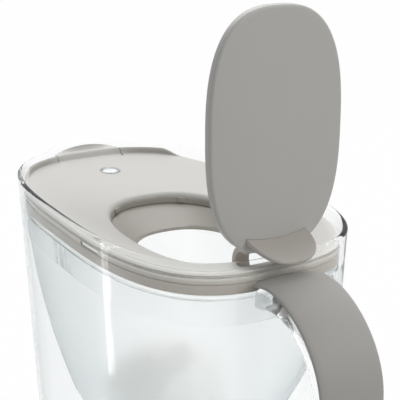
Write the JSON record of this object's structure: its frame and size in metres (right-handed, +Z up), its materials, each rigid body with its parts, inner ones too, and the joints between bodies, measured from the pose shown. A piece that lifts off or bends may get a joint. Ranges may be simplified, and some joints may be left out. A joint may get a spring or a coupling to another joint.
{
  "type": "water filter pitcher with flip lid",
  "caption": "Oval clear fridge jug with spout and side handle, a funnel insert holding a filter cartridge, and a removable lid with a flip-up fill cap and an indicator button.",
  "frame": {"origin": "centre of the jug's flat base", "axes": "+Z up; +X towards the handle, -X towards the spout; Y across the narrow width"},
  "size_m": [0.2905, 0.136, 0.3775],
  "materials": {
    "clear_plastic": "clear polished plastic",
    "soft_grip": "matte soft-touch",
    "frosted_plastic": "milky, smooth",
    "white_plastic": "smooth",
    "dark_rubber": "moulded",
    "mesh": "woven mesh",
    "granules": "loose granules",
    "lid_plastic": "satin moulded",
    "flap_plastic": "satin moulded",
    "lever_plastic": "matte soft-touch",
    "bright_metal": "polished",
    "circuit_board": "solder mask",
    "lamp": "clear resin",
    "dark_plastic": "moulded",
    "spring_metal": "bright strip"
  },
  "bodies": {
    "jug_body": {"jug": "clear_plastic", "handle_rail": "clear_plastic", "grip": "soft_grip"},
    "funnel_body": {"funnel": "frosted_plastic"},
    "cartridge": {"cartridge_shell": "white_plastic", "cartridge_cap": "white_plastic", "cartridge_gasket": "dark_rubber", "top_mesh": "mesh", "bottom_mesh": "mesh", "granule_bed": "granules"},
    "cartridge_ring": {"pull_ring": "white_plastic"},
    "lid": {"lid_cover": "lid_plastic", "lid_base": "lid_plastic", "indicator_bezel": "bright_metal", "indicator_housing": "white_plastic", "indicator_board": "circuit_board", "indicator_lamps": "lamp", "indicator_switch": "dark_plastic", "coin_cell": "bright_metal", "cell_clip": "spring_metal", "battery_door": "white_plastic", "door_seal": "dark_rubber"},
    "button": {"indicator_button": "white_plastic"},
    "pour_flap": {"spout_flap": "lid_plastic"},
    "flip_lid": {"flip_panel": "flap_plastic", "flip_lever": "lever_plastic"}
  },
  "joints": [
    {"name": "funnel_lift", "type": "slide", "parent": "jug_body", "child": "funnel_body", "axis": [0, 0, 1], "range_m": [0, 0.19]},
    {"name": "cartridge_lift", "type": "slide", "parent": "funnel_body", "child": "cartridge", "axis": [0, 0, 1], "range_m": [0, 0.05]},
    {"name": "ring_fold", "type": "hinge", "parent": "cartridge", "child": "cartridge_ring", "pos_m": [-0.022, 0, 0.1623], "axis": [0, -1, 0], "range_deg": [0, 90]},
    {"name": "lid_lift", "type": "slide", "parent": "funnel_body", "child": "lid", "axis": [0, 0, 1], "range_m": [0, 0.12]},
    {"name": "button_press", "type": "slide", "parent": "lid", "child": "button", "axis": [0, 0, -1], "range_m": [0, 0.0008], "stiffness_N_per_m": 500},
    {"name": "pour_flap_hinge", "type": "hinge", "parent": "lid", "child": "pour_flap", "pos_m": [-0.1046, 0, 0.2562], "axis": [0, 1, 0], "range_deg": [0, 50]},
    {"name": "flip_hinge", "type": "hinge", "parent": "lid", "child": "flip_lid", "pos_m": [0.0998, 0, 0.2497], "axis": [0, -1, 0], "range_deg": [0, 90]}
  ]
}
